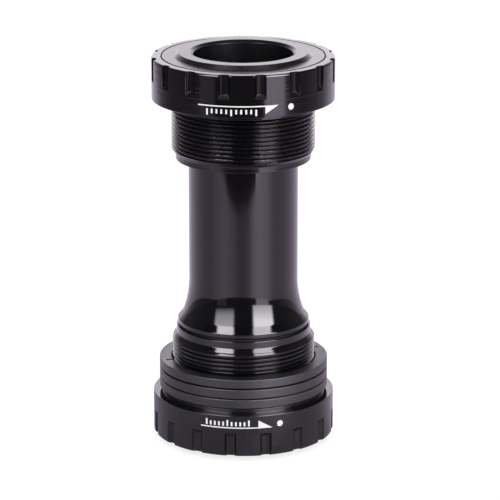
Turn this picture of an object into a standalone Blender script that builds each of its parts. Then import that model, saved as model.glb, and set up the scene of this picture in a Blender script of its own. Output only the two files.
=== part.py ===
"""External-bearing bottom bracket, modelled standing on its left end.

Two threaded cups screw into a bicycle frame's bottom bracket shell and carry one
sealed ball bearing each. A plastic sleeve joins them and keeps water off the
bearings, and three spacer rings ride on the left cup's thread.

Frame: metres, +Z along the crank spindle's axis from the left cup up to the
right cup, -Y towards the front, origin at the centre of the left dust cover's
end face. Dimensions below are in millimetres.

Most profiles are lists of (radius, depth) points, where depth is measured from a
cup's outboard rim towards the middle of the bracket. Each cup's pieces hang on an
empty at that rim whose +Z points inboard, so both ends share the same functions.
"""
import math

import bmesh
import bpy

MM = 0.001
FULL_TURN = 2.0 * math.pi

# Whole bracket
RIM_TO_RIM = 93.7
COVER_RING_HEIGHT = 1.0
LEFT_RIM_Z = COVER_RING_HEIGHT
RIGHT_RIM_Z = LEFT_RIM_Z + RIM_TO_RIM
SEGMENTS = 32

# Cups: wrench flange, shoulder against the shell, thread, plain pilot end
FLANGE_RADIUS = 22.0
FLANGE_WIDTH = 10.25
RIM_CHAMFER = 0.4
FLANGE_CHAMFER = 0.1
SHOULDER_RADIUS = 19.8
SHOULDER_HEIGHT = 1.0
THREAD_CREST_RADIUS = 17.3
THREAD_DEPTH = 0.65
THREAD_ROOT_RADIUS = THREAD_CREST_RADIUS - THREAD_DEPTH
THREAD_PITCH = 25.4 / 24.0
THREAD_RELIEF = 0.6
UNDERCUT_RADIUS = 17.6
UNDERCUT_DEPTH = 0.3
LEFT_CUP_LENGTH = 27.0
RIGHT_CUP_LENGTH = 25.0
PILOT_RADIUS = 16.3
LEFT_PILOT_LENGTH = 2.0
RIGHT_PILOT_LENGTH = 1.2
PILOT_CHAMFER = 0.2
CUP_BORE_RADIUS = 14.6
RIGHT_HAND = 1
LEFT_HAND = -1

# Wrench notches round each flange
NOTCH_COUNT = 16
NOTCH_WIDTH = 2.5
NOTCH_DEPTH = 1.1
NOTCH_LENGTH = 5.6
LEFT_NOTCH_PHASE = 14.4
RIGHT_NOTCH_PHASE = 11.7

# Bearing, 25 x 37 x 7, and its seat in the cup
BEARING_OUTER_RADIUS = 18.5
BEARING_BORE_RADIUS = 12.5
BEARING_WIDTH = 7.0
BEARING_DEPTH = 1.6
SEAT_CLEARANCE = 0.15
PITCH_RADIUS = 15.5
BALL_COUNT = 16
BALL_RADIUS = 1.7
GROOVE_RADIUS = 1.85
OUTER_RACE_LAND = 16.6
INNER_RACE_LAND = 14.3
SEAL_SEAT_RADIUS = 17.1
SEAL_SEAT_WIDTH = 1.0
SEAL_INNER_RADIUS = 14.5
SEAL_OUTER_RADIUS = 16.95
SEAL_THICKNESS = 0.7
SEAL_RECESS = 0.15
CAGE_INNER_RADIUS = 14.75
CAGE_OUTER_RADIUS = 16.25
CAGE_BASE_DEPTH = 1.85
CAGE_BASE_THICKNESS = 0.6
CAGE_FINGER_LENGTH = 2.8
CAGE_SEGMENTS_PER_BALL = 3

# Dust cover: disc in the cup's counterbore, raised ring, lining of the bearing's bore
COUNTERBORE_RADIUS = 19.75
COUNTERBORE_DEPTH = 1.3
COVER_RADIUS = 19.45
COVER_THICKNESS = 1.0
COVER_RING_RADIUS = 16.65
COVER_BORE_RADIUS = 12.0
COVER_BORE_CHAMFER = 0.9
COVER_BOSS_RADIUS = 14.2
COVER_GAP = 0.1
COVER_LINING_RADIUS = 12.38
COVER_LINING_END = 8.9

# Spacer rings on the left cup
SPACER_COUNT = 3
SPACER_PITCH = 2.5
SPACER_GAP = 0.05
SPACER_OUTER_RADIUS = 20.5
SPACER_INNER_RADIUS = 17.85
SPACER_CHAMFER = 0.15
FIRST_SPACER_Z = LEFT_RIM_Z + FLANGE_WIDTH + SHOULDER_HEIGHT + SPACER_GAP

# Centre sleeve, in world heights; its flared end stands over the left cup
SLEEVE_RADIUS = 13.2
SLEEVE_BORE_RADIUS = 12.4
SLEEVE_RIM_RADIUS = 15.95
SLEEVE_RIM_Z = 28.65
SLEEVE_RIM_HEIGHT = 0.75
SLEEVE_SHOULDER_ARC = 1.1
SLEEVE_FLARE_ARC = 20.5
SLEEVE_FLARE_TOP_Z = 39.3
SLEEVE_FLARE_HEIGHT = 9.0
SPIGOT_RADIUS = 14.15
SPIGOT_END_Z = 20.5
COLLAR_RADIUS = 14.3
COLLAR_Z = 69.9
SLEEVE_TOP_Z = 76.0

# O-ring between the sleeve's rim and a recess in the left cup's mouth
O_RING_CENTRE_RADIUS = 14.95
O_RING_Z = 27.9
O_RING_SECTION_RADIUS = 0.65
O_RING_SIDES = 8
O_RING_RECESS_RADIUS = 15.75
O_RING_RECESS_DEPTH = 0.85

MATERIALS = {
    # name: (base colour, roughness, metallic)
    "polished_black_anodise": ((0.012, 0.012, 0.014), 0.16, 0.6),
    "satin_black_anodise": ((0.030, 0.029, 0.032), 0.38, 0.5),
    "black_cover_plastic": ((0.014, 0.014, 0.015), 0.28, 0.0),
    "black_sleeve_plastic": ((0.010, 0.010, 0.011), 0.18, 0.0),
    "grey_spacer_plastic": ((0.060, 0.058, 0.062), 0.55, 0.0),
    "bearing_steel": ((0.560, 0.560, 0.570), 0.18, 1.0),
    "cage_nylon": ((0.250, 0.200, 0.120), 0.50, 0.0),
    "seal_rubber": ((0.020, 0.020, 0.022), 0.60, 0.0),
}


def clear_scene():
    """Remove every object, so that the script can be run again."""
    for old in list(bpy.data.objects):
        bpy.data.objects.remove(old, do_unlink=True)


def make_materials():
    """One Principled BSDF material for each entry of MATERIALS."""
    made = {}
    for name, (colour, roughness, metallic) in MATERIALS.items():
        material = bpy.data.materials.new(name)
        material.use_nodes = True
        shader = material.node_tree.nodes["Principled BSDF"]
        shader.inputs["Base Color"].default_value = (*colour, 1.0)
        shader.inputs["Roughness"].default_value = roughness
        shader.inputs["Metallic"].default_value = metallic
        made[name] = material
    return made


def add_empty(name, z, rotation=(0.0, 0.0, 0.0)):
    """An empty on the spindle's axis that carries the pieces of one end."""
    empty = bpy.data.objects.new(name, None)
    empty.empty_display_size = 0.01
    empty.location = (0.0, 0.0, z * MM)
    empty.rotation_euler = rotation
    bpy.context.collection.objects.link(empty)
    return empty


def add_object(name, bm, material, parent=None, location=(0.0, 0.0, 0.0)):
    """Turn a bmesh into a smooth-shaded object under parent, at location in mm."""
    bmesh.ops.recalc_face_normals(bm, faces=bm.faces)
    mesh = bpy.data.meshes.new(name)
    bm.to_mesh(mesh)
    bm.free()
    mesh.shade_smooth()
    mesh.set_sharp_from_angle(angle=math.radians(30.0))
    mesh.materials.append(material)
    new = bpy.data.objects.new(name, mesh)
    new.parent = parent
    new.location = [value * MM for value in location]
    bpy.context.collection.objects.link(new)
    return new


def polar(radius, angle, height):
    """A point in metres, from a radius and a height in mm and an angle in radians."""
    return (radius * math.cos(angle) * MM, radius * math.sin(angle) * MM, height * MM)


def arc(centre, radius, start, end, steps):
    """Points of an arc in the (radius, depth) plane, angles in degrees."""
    points = []
    for step in range(steps + 1):
        angle = math.radians(start + (end - start) * step / steps)
        points.append((centre[0] + radius * math.cos(angle),
                       centre[1] + radius * math.sin(angle)))
    return points


def turn_profile(bm, profile, closed=True, segments=SEGMENTS):
    """Turn (radius, height) points about Z and return one ring of vertices per point."""
    rings = []
    for radius, height in profile:
        ring = [bm.verts.new(polar(radius, FULL_TURN * i / segments, height))
                for i in range(segments)]
        rings.append(ring)
    pairs = list(zip(rings, rings[1:]))
    if closed:
        pairs.append((rings[-1], rings[0]))
    for lower, upper in pairs:
        for i in range(segments):
            j = (i + 1) % segments
            bm.faces.new((lower[i], lower[j], upper[j], upper[i]))
    return rings


def turned_object(name, profile, material, parent=None, segments=SEGMENTS):
    """A closed ring of the given profile as an object of its own."""
    bm = bmesh.new()
    turn_profile(bm, profile, segments=segments)
    return add_object(name, bm, material, parent)


def add_thread(bm, near_ring, far_ring, start, turns, hand, crest_limit):
    """Fill the gap between two rings at the root radius with a V thread.

    Rows of vertices alternate between root and crest, half a pitch apart, and climb
    one pitch in a turn, so the last column of a row meets the first column two rows
    up. crest_limit gives the largest crest radius at a depth, which runs the thread
    out into the chamfer at its free end.
    """
    segments = len(near_ring)
    near = [near_ring[(hand * i) % segments] for i in range(segments)]
    far = [far_ring[(hand * i) % segments] for i in range(segments)]
    last_row = 2 * turns

    def thread_vertex(row, column):
        depth = start + THREAD_PITCH * (row / 2.0 + column / segments)
        radius = THREAD_ROOT_RADIUS
        if row % 2 == 1:
            radius = min(THREAD_CREST_RADIUS, crest_limit(depth))
        return bm.verts.new(polar(radius, hand * FULL_TURN * column / segments, depth))

    columns = []
    for column in range(segments):
        top_row = last_row + 2 if column == 0 else last_row
        columns.append([thread_vertex(row, column) for row in range(top_row + 1)])
    # The first column again, two rows up, closes the helix on itself.
    columns.append(columns[0][2:])
    near.append(near[0])
    far.append(far[0])

    for column in range(segments):
        here = columns[column]
        after = columns[column + 1]
        for row in range(last_row):
            bm.faces.new((here[row], after[row], after[row + 1], here[row + 1]))
        near_face = [near[column], near[column + 1], after[0], here[0]]
        far_face = [here[last_row], after[last_row], far[column + 1], far[column]]
        if column == segments - 1:
            near_face.insert(2, columns[0][0])
        if column == 0:
            far_face.append(here[last_row + 2])
        bm.faces.new(near_face)
        bm.faces.new(far_face)
    # The two blunt ends of the ridge.
    bm.faces.new(columns[0][0:3])
    bm.faces.new(columns[0][last_row:last_row + 3])


def cup_profile(length, pilot_length, mouth):
    """Open profile of a cup, from the thread's near end round to its far end.

    A shallow undercut round the thread leaves the shoulder face clear of the crests.
    """
    shoulder = FLANGE_WIDTH + SHOULDER_HEIGHT
    seat_radius = BEARING_OUTER_RADIUS + SEAT_CLEARANCE
    seat_floor = BEARING_DEPTH + BEARING_WIDTH + SEAT_CLEARANCE
    root_step = THREAD_ROOT_RADIUS - PILOT_RADIUS
    return [
        (THREAD_ROOT_RADIUS, shoulder - UNDERCUT_DEPTH),
        (UNDERCUT_RADIUS, shoulder - UNDERCUT_DEPTH),
        (UNDERCUT_RADIUS, shoulder),
        (SHOULDER_RADIUS, shoulder),
        (SHOULDER_RADIUS, FLANGE_WIDTH),
        (FLANGE_RADIUS - FLANGE_CHAMFER, FLANGE_WIDTH),
        (FLANGE_RADIUS, FLANGE_WIDTH - FLANGE_CHAMFER),
        (FLANGE_RADIUS, RIM_CHAMFER),
        (FLANGE_RADIUS - RIM_CHAMFER, 0.0),
        (COUNTERBORE_RADIUS, 0.0),
        (COUNTERBORE_RADIUS, COUNTERBORE_DEPTH),
        (seat_radius, COUNTERBORE_DEPTH),
        (seat_radius, seat_floor),
        (CUP_BORE_RADIUS, seat_floor),
        *mouth,
        (PILOT_RADIUS - PILOT_CHAMFER, length),
        (PILOT_RADIUS, length - PILOT_CHAMFER),
        (PILOT_RADIUS, length - pilot_length),
        (THREAD_ROOT_RADIUS, length - pilot_length - root_step),
    ]


def add_cup(name, length, pilot_length, mouth, hand, material, parent):
    """A cup with its thread, before its wrench notches are cut."""
    bm = bmesh.new()
    profile = cup_profile(length, pilot_length, mouth)
    rings = turn_profile(bm, profile, closed=False)
    thread_start = FLANGE_WIDTH + SHOULDER_HEIGHT + THREAD_RELIEF
    thread_end = profile[-1][1]
    turns = int((thread_end - thread_start) / THREAD_PITCH) - 1

    def crest_limit(depth):
        # A 45 degree chamfer, and a ramp out of the relief beside the shoulder.
        chamfer = THREAD_ROOT_RADIUS + 0.05 + (thread_end - depth)
        ramp = THREAD_ROOT_RADIUS + 0.05 + (depth - thread_start)
        return min(chamfer, ramp)

    add_thread(bm, rings[0], rings[-1], thread_start, turns, hand, crest_limit)
    return add_object(name, bm, material, parent)


def cut_notches(cup, phase, parent):
    """Cut the wrench notches, each open at the rim with a sloping inner end."""
    bm = bmesh.new()
    floor = FLANGE_RADIUS - NOTCH_DEPTH
    outside = FLANGE_RADIUS + NOTCH_DEPTH
    slope = outside - floor
    side_view = [
        (floor, -1.0),
        (outside, -1.0),
        (outside, NOTCH_LENGTH - NOTCH_DEPTH + slope),
        (floor, NOTCH_LENGTH - NOTCH_DEPTH),
    ]
    for index in range(NOTCH_COUNT):
        angle = math.radians(phase) + FULL_TURN * index / NOTCH_COUNT
        ends = []
        for offset in (-NOTCH_WIDTH / 2.0, NOTCH_WIDTH / 2.0):
            end = []
            for radius, depth in side_view:
                x = radius * math.cos(angle) - offset * math.sin(angle)
                y = radius * math.sin(angle) + offset * math.cos(angle)
                end.append(bm.verts.new((x * MM, y * MM, depth * MM)))
            ends.append(end)
        bm.faces.new(ends[0])
        bm.faces.new(ends[1])
        corners = len(side_view)
        for i in range(corners):
            j = (i + 1) % corners
            bm.faces.new((ends[0][i], ends[0][j], ends[1][j], ends[1][i]))
    cutter = add_object(cup.name + "_notch_cutter", bm, cup.data.materials[0], parent)
    cutter.hide_render = True
    cutter.display_type = "WIRE"
    modifier = cup.modifiers.new("wrench_notches", "BOOLEAN")
    modifier.operation = "DIFFERENCE"
    modifier.solver = "EXACT"
    modifier.object = cutter


def add_bearing(side, steel, rubber, nylon, parent):
    """A sealed ball bearing: two races, a crown cage, its balls and two seals."""
    middle = BEARING_DEPTH + BEARING_WIDTH / 2.0
    half = BEARING_WIDTH / 2.0
    seat = half - SEAL_SEAT_WIDTH

    rise = math.degrees(math.acos((OUTER_RACE_LAND - PITCH_RADIUS) / GROOVE_RADIUS))
    groove = arc((PITCH_RADIUS, middle), GROOVE_RADIUS, -rise, rise, 4)
    turned_object(side + "_bearing_outer_race", [
        (BEARING_OUTER_RADIUS, middle - half),
        (SEAL_SEAT_RADIUS, middle - half),
        (SEAL_SEAT_RADIUS, middle - seat),
        (OUTER_RACE_LAND, middle - seat),
        *groove,
        (OUTER_RACE_LAND, middle + seat),
        (SEAL_SEAT_RADIUS, middle + seat),
        (SEAL_SEAT_RADIUS, middle + half),
        (BEARING_OUTER_RADIUS, middle + half),
    ], steel, parent)

    fall = math.degrees(math.acos((PITCH_RADIUS - INNER_RACE_LAND) / GROOVE_RADIUS))
    groove = arc((PITCH_RADIUS, middle), GROOVE_RADIUS, 180.0 + fall, 180.0 - fall, 4)
    turned_object(side + "_bearing_inner_race", [
        (BEARING_BORE_RADIUS, middle - half),
        (INNER_RACE_LAND, middle - half),
        *groove,
        (INNER_RACE_LAND, middle + half),
        (BEARING_BORE_RADIUS, middle + half),
    ], steel, parent)

    for place, direction in (("outboard", -1.0), ("inboard", 1.0)):
        face = middle + direction * (half - SEAL_RECESS)
        back = face - direction * SEAL_THICKNESS
        turned_object(side + "_bearing_" + place + "_seal", [
            (SEAL_INNER_RADIUS, face),
            (SEAL_OUTER_RADIUS, face),
            (SEAL_OUTER_RADIUS, back),
            (SEAL_INNER_RADIUS, back),
        ], rubber, parent)

    cage = add_cage(side + "_bearing_cage", nylon, middle, parent)
    for index in range(BALL_COUNT):
        angle = FULL_TURN * index / BALL_COUNT
        bm = bmesh.new()
        bmesh.ops.create_icosphere(bm, subdivisions=2, radius=BALL_RADIUS * MM)
        ball_name = "%s_bearing_ball_%02d" % (side, index + 1)
        place = (PITCH_RADIUS * math.cos(angle), PITCH_RADIUS * math.sin(angle), middle)
        add_object(ball_name, bm, steel, cage, place)


def add_cage(name, material, middle, parent):
    """A crown cage: a ring beside the balls with one finger between each pair."""
    segments = BALL_COUNT * CAGE_SEGMENTS_PER_BALL
    base = middle + CAGE_BASE_DEPTH
    back = base + CAGE_BASE_THICKNESS
    bm = bmesh.new()
    turn_profile(bm, [
        (CAGE_INNER_RADIUS, base),
        (CAGE_OUTER_RADIUS, base),
        (CAGE_OUTER_RADIUS, back),
        (CAGE_INNER_RADIUS, back),
    ], segments=segments)
    # The first strip of faces is the one beside the balls. Ball 1 sits on a segment's
    # boundary, so the middle segment of each three is halfway between two balls.
    bm.faces.ensure_lookup_table()
    middle_segment = CAGE_SEGMENTS_PER_BALL // 2
    finger_faces = [bm.faces[i]
                    for i in range(middle_segment, segments, CAGE_SEGMENTS_PER_BALL)]
    grown = bmesh.ops.extrude_discrete_faces(bm, faces=finger_faces)
    for face in grown["faces"]:
        bmesh.ops.translate(bm, verts=face.verts, vec=(0.0, 0.0, -CAGE_FINGER_LENGTH * MM))
    return add_object(name, bm, material, parent)


def add_cover(name, material, parent):
    """Dust cover: flush disc, raised ring, boss on the inner race, bore lining."""
    disc_back = COVER_THICKNESS
    boss_end = BEARING_DEPTH - COVER_GAP
    turned_object(name, [
        (COVER_BORE_RADIUS + COVER_BORE_CHAMFER, -COVER_RING_HEIGHT),
        (COVER_RING_RADIUS, -COVER_RING_HEIGHT),
        (COVER_RING_RADIUS, 0.0),
        (COVER_RADIUS, 0.0),
        (COVER_RADIUS, disc_back),
        (COVER_BOSS_RADIUS, disc_back),
        (COVER_BOSS_RADIUS, boss_end),
        (COVER_LINING_RADIUS, boss_end),
        (COVER_LINING_RADIUS, COVER_LINING_END),
        (COVER_BORE_RADIUS, COVER_LINING_END),
        (COVER_BORE_RADIUS, COVER_BORE_CHAMFER - COVER_RING_HEIGHT),
    ], material, parent)


def add_sleeve(material):
    """Centre sleeve: spigot, flared end rim, long tube and collar in the right cup."""
    flare_centre = (SLEEVE_RADIUS + SLEEVE_FLARE_ARC, SLEEVE_FLARE_TOP_Z)
    sweep = math.degrees(math.asin(SLEEVE_FLARE_HEIGHT / SLEEVE_FLARE_ARC))
    flare = arc(flare_centre, SLEEVE_FLARE_ARC, 180.0 + sweep, 180.0, 4)
    shoulder_centre = (SLEEVE_RIM_RADIUS - SLEEVE_SHOULDER_ARC,
                       SLEEVE_RIM_Z + SLEEVE_RIM_HEIGHT)
    shoulder = arc(shoulder_centre, SLEEVE_SHOULDER_ARC, 0.0, 75.0, 3)
    turned_object("centre_sleeve", [
        (SLEEVE_BORE_RADIUS, SPIGOT_END_Z),
        (SPIGOT_RADIUS - PILOT_CHAMFER, SPIGOT_END_Z),
        (SPIGOT_RADIUS, SPIGOT_END_Z + PILOT_CHAMFER),
        (SPIGOT_RADIUS, SLEEVE_RIM_Z),
        (SLEEVE_RIM_RADIUS, SLEEVE_RIM_Z),
        *shoulder,
        *flare,
        (SLEEVE_RADIUS, COLLAR_Z),
        (COLLAR_RADIUS, COLLAR_Z),
        (COLLAR_RADIUS, SLEEVE_TOP_Z),
        (SLEEVE_BORE_RADIUS, SLEEVE_TOP_Z),
    ], material)


def add_spacers(material):
    """Three plain rings, stacked on the left cup's shoulder."""
    inner = SPACER_INNER_RADIUS
    outer = SPACER_OUTER_RADIUS
    for index in range(SPACER_COUNT):
        bottom = FIRST_SPACER_Z + index * SPACER_PITCH
        top = bottom + SPACER_PITCH - SPACER_GAP
        turned_object("spacer_%d" % (index + 1), [
            (inner, bottom),
            (outer - SPACER_CHAMFER, bottom),
            (outer, bottom + SPACER_CHAMFER),
            (outer, top - SPACER_CHAMFER),
            (outer - SPACER_CHAMFER, top),
            (inner, top),
        ], material)


def build():
    """Model the whole bottom bracket."""
    clear_scene()
    materials = make_materials()
    left_end = add_empty("left_end", LEFT_RIM_Z)
    right_end = add_empty("right_end", RIGHT_RIM_Z, (math.pi, 0.0, 0.0))

    # The left cup's mouth has a recess for the O-ring, the right cup's is plain.
    recess_floor = LEFT_CUP_LENGTH - O_RING_RECESS_DEPTH
    left_mouth = [
        (CUP_BORE_RADIUS, recess_floor),
        (O_RING_RECESS_RADIUS, recess_floor),
        (O_RING_RECESS_RADIUS, LEFT_CUP_LENGTH),
    ]
    right_mouth = [(CUP_BORE_RADIUS, RIGHT_CUP_LENGTH)]
    # The right cup's thread is left-handed, so that riding doesn't unscrew it.
    left_cup = add_cup("left_cup", LEFT_CUP_LENGTH, LEFT_PILOT_LENGTH, left_mouth,
                       RIGHT_HAND, materials["satin_black_anodise"], left_end)
    right_cup = add_cup("right_cup", RIGHT_CUP_LENGTH, RIGHT_PILOT_LENGTH, right_mouth,
                        LEFT_HAND, materials["polished_black_anodise"], right_end)
    cut_notches(left_cup, LEFT_NOTCH_PHASE, left_end)
    cut_notches(right_cup, RIGHT_NOTCH_PHASE, right_end)

    for side, end in (("left", left_end), ("right", right_end)):
        add_bearing(side, materials["bearing_steel"], materials["seal_rubber"],
                    materials["cage_nylon"], end)
        add_cover(side + "_dust_cover", materials["black_cover_plastic"], end)

    add_sleeve(materials["black_sleeve_plastic"])
    o_ring = arc((O_RING_CENTRE_RADIUS, O_RING_Z), O_RING_SECTION_RADIUS,
                 0.0, 360.0, O_RING_SIDES)[:-1]
    turned_object("sleeve_o_ring", o_ring, materials["seal_rubber"])
    add_spacers(materials["grey_spacer_plastic"])


build()
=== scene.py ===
"""Looks of the bottom bracket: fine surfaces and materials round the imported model.

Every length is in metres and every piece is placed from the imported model's own
boxes. Most pieces are turned about the spindle's axis. Each cup and what it holds is
made in its rim's frame, where depth is measured from the outboard rim inwards, and
seated() then puts it on its end of the bracket.
"""
import math

import bmesh
import bpy
import numpy as np
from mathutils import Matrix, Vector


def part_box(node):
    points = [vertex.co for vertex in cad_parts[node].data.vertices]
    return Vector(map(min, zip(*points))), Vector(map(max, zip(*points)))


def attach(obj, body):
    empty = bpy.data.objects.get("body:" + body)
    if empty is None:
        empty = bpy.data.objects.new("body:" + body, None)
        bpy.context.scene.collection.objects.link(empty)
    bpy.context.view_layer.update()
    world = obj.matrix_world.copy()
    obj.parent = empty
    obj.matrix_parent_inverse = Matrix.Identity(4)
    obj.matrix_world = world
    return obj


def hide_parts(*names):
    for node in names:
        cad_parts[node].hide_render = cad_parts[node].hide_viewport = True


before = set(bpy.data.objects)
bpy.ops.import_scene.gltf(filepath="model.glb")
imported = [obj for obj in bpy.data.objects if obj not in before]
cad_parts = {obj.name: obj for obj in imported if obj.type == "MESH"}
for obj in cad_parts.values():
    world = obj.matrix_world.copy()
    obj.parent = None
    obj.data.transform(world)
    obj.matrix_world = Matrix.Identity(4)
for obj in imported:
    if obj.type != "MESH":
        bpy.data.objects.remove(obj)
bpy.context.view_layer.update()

MM = 0.001
TURN = 2.0 * math.pi

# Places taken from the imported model
LEFT_RIM_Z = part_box("left_cup")[0].z
RIGHT_RIM_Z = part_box("right_cup")[1].z
LEFT_CUP_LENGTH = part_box("left_cup")[1].z - LEFT_RIM_Z
RIGHT_CUP_LENGTH = RIGHT_RIM_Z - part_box("right_cup")[0].z
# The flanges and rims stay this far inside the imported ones, which leaves room for ink.
SKIN = 0.02 * MM
FLANGE_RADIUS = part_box("left_cup")[1].x - SKIN
COVER_HEIGHT = LEFT_RIM_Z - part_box("left_dust_cover")[0].z

# Cups
FLANGE_WIDTH = 10.25 * MM
RIM_ROUND = 0.5 * MM
RIM_STEPS = 5
SHOULDER_RADIUS = 19.8 * MM
SHOULDER_DEPTH = 11.25 * MM
UNDERCUT_RADIUS = 17.6 * MM
UNDERCUT_DEPTH = 10.95 * MM
SEAT_RADIUS = 18.65 * MM
SEAT_FLOOR = 8.75 * MM
COUNTERBORE_RADIUS = 19.75 * MM
COUNTERBORE_DEPTH = 1.3 * MM
COUNTERBORE_ROUND = 0.12 * MM
BORE_RADIUS = 14.6 * MM
PILOT_RADIUS = 16.3 * MM
LEFT_PILOT_LENGTH = 1.75 * MM
RIGHT_PILOT_LENGTH = 1.4 * MM
LEFT_MOUTH_RADIUS = 15.75 * MM
LEFT_MOUTH_DEPTH = 0.85 * MM

# Threads. A cup's runout is the radius where the chamfer at its thread's end starts.
THREAD_START = 11.85 * MM
THREAD_CREST = 17.3 * MM
THREAD_ROOT = 16.65 * MM
THREAD_PITCH = 25.4 * MM / 24.0
LEAD_SLOPE = 1.5
CHAMFER_SLOPE = 0.8
ROOT_FADE = 0.8 * THREAD_PITCH
LEFT_RUNOUT = 17.05 * MM
RIGHT_RUNOUT = THREAD_ROOT
LEFT_HAND = -1
RIGHT_HAND = 1

# Wrench notches: rounded grooves with an end that slopes out at 45 degrees
NOTCHES = 16
NOTCH_DEPTH = 1.0 * MM
NOTCH_HALF_WIDTH = 1.4 * MM
NOTCH_SQUARENESS = 4
NOTCH_FLAT_LENGTH = 4.8 * MM
NOTCH_FILLET = 0.16 * MM
NOTCH_CELLS = 12
LAND_CELLS = 14
LEFT_NOTCH_PHASE = math.radians(14.4)
RIGHT_NOTCH_PHASE = math.radians(11.7)

# Height of the thread's ridge at places along one pitch, both from 0 to 1
THREAD_FORM = ((0.0, 0.0), (0.08, 0.0), (0.11, 0.05), (0.43, 0.97), (0.455, 1.0),
               (0.545, 1.0), (0.57, 0.97), (0.89, 0.05), (0.92, 0.0))


# ---------------------------------------------------------------- mesh building

HOLD_SHARE = 0.2
ARC_STEPS = 4
RING_SEGMENTS = 192
SHARP_ANGLE = math.radians(34.0)
WELD_DISTANCE = 0.002 * MM
SLIVER = 0.0005 * MM


def fillet(profile, closed=True):
    """Round the corners of (radius, depth, corner radius) points with arcs. A point
    just before and after each arc keeps the shading of the straight parts straight."""
    count = len(profile)
    points = []
    for i, (x, y, corner) in enumerate(profile):
        open_end = not closed and i in (0, count - 1)
        if corner <= 0.0 or open_end:
            points.append((x, y))
            continue
        here = np.array((x, y))
        before = np.array(profile[i - 1][:2]) - here
        after = np.array(profile[(i + 1) % count][:2]) - here
        before /= np.linalg.norm(before)
        after /= np.linalg.norm(after)
        half = math.acos(max(-1.0, min(1.0, float(before @ after)))) / 2.0
        middle = before + after
        middle /= np.linalg.norm(middle)
        centre = here + middle * corner / math.sin(half)
        first = here + before * corner / math.tan(half) - centre
        last = here + after * corner / math.tan(half) - centre
        hold = HOLD_SHARE * corner
        points.append(tuple(centre + first + before * hold))
        start = math.atan2(first[1], first[0])
        sweep = math.atan2(last[1], last[0]) - start
        sweep = (sweep + math.pi) % TURN - math.pi
        for k in range(ARC_STEPS + 1):
            angle = start + sweep * k / ARC_STEPS
            points.append((centre[0] + corner * math.cos(angle),
                           centre[1] + corner * math.sin(angle)))
        points.append(tuple(centre + last + after * hold))
    return points


def arc(centre, radius, start, end, steps):
    """Points of an arc in the (radius, height) plane, angles in degrees."""
    points = []
    for k in range(steps + 1):
        angle = math.radians(start + (end - start) * k / steps)
        points.append((centre[0] + radius * math.cos(angle),
                       centre[1] + radius * math.sin(angle)))
    return points


def even_angles(count):
    """Column angles round a full turn, with the first repeated at the end."""
    return np.linspace(0.0, TURN, count + 1)


def ring(radius, depth, angles):
    """One row of points: radius and depth are numbers or one value per column."""
    radius = np.broadcast_to(radius, angles.shape)
    depth = np.broadcast_to(depth, angles.shape)
    return np.stack((radius * np.cos(angles), radius * np.sin(angles), depth), axis=1)


def make_mesh(name, rows, close_rows=True):
    """Join rows of points into a skin, and weld the seam and every doubled point."""
    if close_rows:
        rows = rows + [rows[0]]
    width = len(rows[0])
    points = np.concatenate(rows)
    corner = np.arange(len(rows) - 1)[:, None] * width + np.arange(width - 1)[None, :]
    corner = corner.ravel()
    faces = np.stack((corner, corner + 1, corner + width + 1, corner + width), axis=1)
    mesh = bpy.data.meshes.new(name)
    mesh.from_pydata(points.tolist(), [], faces.tolist())
    weld(mesh)
    return mesh


def weld(mesh):
    """Weld doubled points and turn every face outwards."""
    bm = bmesh.new()
    bm.from_mesh(mesh)
    bmesh.ops.remove_doubles(bm, verts=bm.verts, dist=WELD_DISTANCE)
    bmesh.ops.dissolve_degenerate(bm, edges=bm.edges, dist=SLIVER)
    bmesh.ops.recalc_face_normals(bm, faces=bm.faces)
    bm.to_mesh(mesh)
    bm.free()


def seated(mesh, side):
    """Move a mesh from its rim's frame to its end of the bracket."""
    flip = 1.0 if side == "left" else -1.0
    rim = LEFT_RIM_Z if side == "left" else RIGHT_RIM_Z
    for vertex in mesh.vertices:
        x, y, z = vertex.co
        vertex.co = (x, flip * y, rim + flip * z)
    return mesh


def add_piece(mesh, body, material, replaced=()):
    """Make an object of a finished mesh, put it under its body's empty and hide the
    imported parts that it replaces.
    """
    mesh.shade_smooth()
    mesh.set_sharp_from_angle(angle=SHARP_ANGLE)
    mesh.materials.append(material)
    piece = bpy.data.objects.new(mesh.name, mesh)
    bpy.context.scene.collection.objects.link(piece)
    weighted = piece.modifiers.new("weighted_normals", "WEIGHTED_NORMAL")
    weighted.keep_sharp = True
    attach(piece, body)
    if replaced:
        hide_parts(*replaced)
    return piece


def turned(name, profile, segments=RING_SEGMENTS):
    """A closed ring from (radius, depth, corner radius) points."""
    angles = even_angles(segments)
    return make_mesh(name, [ring(r, z, angles) for r, z in fillet(profile)])


# ---------------------------------------------------------------- cups

def notch_columns(phase):
    """Column angles round a cup, and how far out the notch floor is at each."""
    floor = FLANGE_RADIUS - NOTCH_DEPTH
    rise = math.sqrt(FLANGE_RADIUS ** 2 - NOTCH_HALF_WIDTH ** 2) - floor
    angles = []
    radii = []
    for notch in range(NOTCHES):
        middle = phase + TURN * notch / NOTCHES
        for k in range(NOTCH_CELLS + 1):
            share = math.sin(math.pi * (k / NOTCH_CELLS - 0.5))
            across = NOTCH_HALF_WIDTH * share
            out = floor + rise * share ** NOTCH_SQUARENESS
            angles.append(middle + math.atan2(across, out))
            radii.append(math.hypot(across, out))
        edge = angles[-1] - middle
        land = TURN / NOTCHES - 2.0 * edge
        for k in range(1, LAND_CELLS):
            angles.append(middle + edge + land * k / LAND_CELLS)
            radii.append(2.0 * FLANGE_RADIUS)
    angles.append(angles[0] + TURN)
    radii.append(radii[0])
    return np.array(angles), np.minimum(np.array(radii), FLANGE_RADIUS)


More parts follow.
